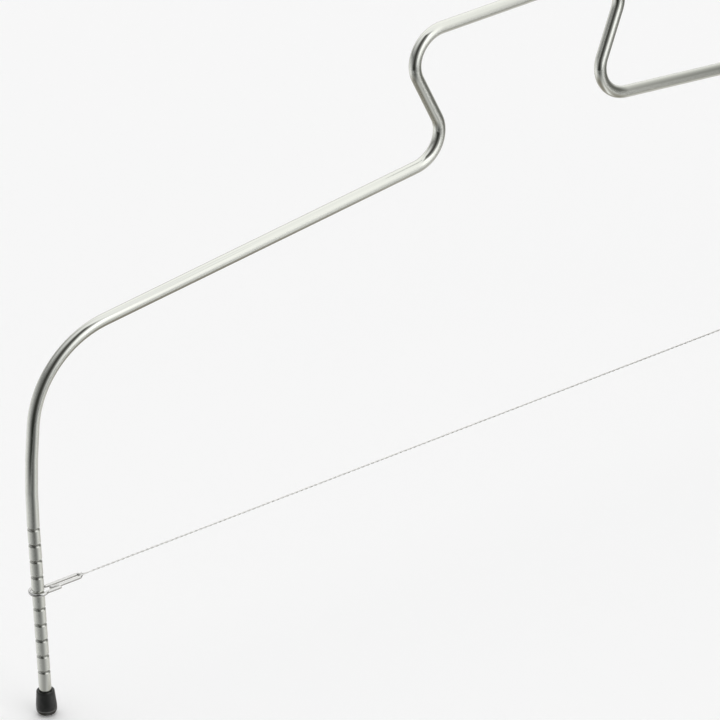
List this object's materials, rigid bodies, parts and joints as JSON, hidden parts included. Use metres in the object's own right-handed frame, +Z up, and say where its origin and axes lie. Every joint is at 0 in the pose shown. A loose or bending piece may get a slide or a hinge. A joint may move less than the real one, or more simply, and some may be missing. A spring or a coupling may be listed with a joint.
{
  "type": "cake leveler",
  "caption": "Wire cake leveler: a bent steel rod arch with an open handle and rubber feet holds a taut twisted wire, set in height by hooks that slide along grooved legs.",
  "frame": {"origin": "on the table, halfway between the two feet", "axes": "+X along the cutting wire towards the right leg, +Y across the tool, +Z up from the feet to the handle"},
  "size_m": [0.3378, 0.0058, 0.1667],
  "materials": {
    "polished_rod": "polished stainless steel with fine drawing lines",
    "spring_wire": "bright spring wire",
    "cutting_strand": "bright twisted strands",
    "black_rubber": "satin moulded rubber"
  },
  "bodies": {
    "frame": {"frame_rod": "polished_rod", "foot_left": "black_rubber", "foot_right": "black_rubber"},
    "right_hook": {"hook_right": "spring_wire"},
    "wire": {"cutting_wire": "cutting_strand"},
    "left_hook": {"hook_left": "spring_wire"}
  },
  "joints": [
    {"name": "wire_height", "type": "slide", "parent": "frame", "child": "right_hook", "axis": [0, 0, 1], "range_m": [-0.025, 0.02]},
    {"name": "wire_tilt", "type": "hinge", "parent": "right_hook", "child": "wire", "pos_m": [0.1523, 0, 0.03875], "axis": [0, 1, 0], "range_deg": [-0.94, 0.94]},
    {"name": "left_hook_level", "type": "hinge", "parent": "wire", "child": "left_hook", "pos_m": [-0.1523, 0, 0.03875], "axis": [0, 1, 0], "range_deg": [-0.94, 0.94]}
  ],
  "couplings": [
    {"joint": "left_hook_level", "follows": "wire_tilt", "ratio": -1}
  ]
}
